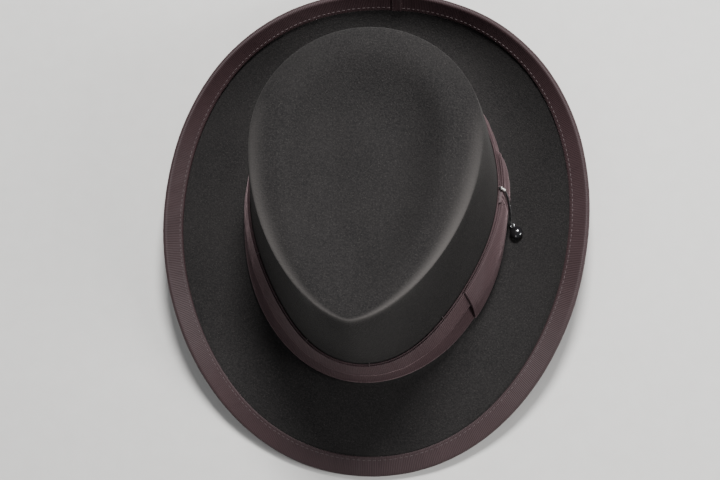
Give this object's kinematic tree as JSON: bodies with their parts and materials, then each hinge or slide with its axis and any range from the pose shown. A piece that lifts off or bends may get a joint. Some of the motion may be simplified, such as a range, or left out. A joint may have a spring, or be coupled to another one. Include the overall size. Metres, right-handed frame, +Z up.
{
  "type": "fedora",
  "caption": "Dark charcoal felt fedora with a teardrop crown, a brim bound in dusty brown ribbon, a matching ribbon band with a flat bow, and an elastic wind cord with a ball button.",
  "frame": {"origin": "on the table under the middle of the brim, where the hat stands on its front edge and the back of its break", "axes": "+Z up, -Y the front of the hat, +X the wearer's left, where the bow is"},
  "size_m": [0.2756, 0.3202, 0.1206],
  "materials": {
    "felt": "dense fur felt, matt, with a short nap",
    "binding_grosgrain": "ribbed grosgrain, slight sheen",
    "band_grosgrain": "ribbed grosgrain, slight sheen",
    "ribbon_thread": "matt polyester thread",
    "elastic": "braided elastic, matt",
    "sleeve_metal": "dull pale metal, crimped",
    "eye_metal": "thin bright wire",
    "button_plastic": "polished black, very glossy",
    "sweatband_leather": "smooth tanned leather, soft sheen",
    "reed_tape": "fine woven tape",
    "sweatband_thread": "matt waxed thread",
    "lining_satin": "satin weave, silky sheen"
  },
  "bodies": {
    "hat": {"felt_body": "felt", "brim_binding": "binding_grosgrain", "binding_thread": "ribbon_thread", "hat_band": "band_grosgrain", "hat_band_overlay": "band_grosgrain", "band_tack_threads": "ribbon_thread", "bow_front_loop": "band_grosgrain", "bow_back_loop": "band_grosgrain", "bow_tail": "band_grosgrain", "bow_knot": "band_grosgrain", "wind_cord_ring": "elastic", "wind_cord": "elastic", "wind_cord_loop": "elastic", "wind_cord_sleeve": "sleeve_metal", "sweatband": "sweatband_leather", "sweatband_reed": "reed_tape", "sweatband_thread": "sweatband_thread", "sweatband_tape": "reed_tape", "sweatband_bow": "reed_tape", "lining_side": "lining_satin", "lining_tip": "lining_satin"},
    "button": {"wind_button": "button_plastic", "wind_button_eye": "eye_metal"}
  },
  "joints": [
    {"name": "button_swing", "type": "hinge", "parent": "hat", "child": "button", "pos_m": [0.08956, 0.0071, 0.01274], "axis": [-0.263, 0.065, 0.9626], "range_deg": [-35, 75]}
  ]
}
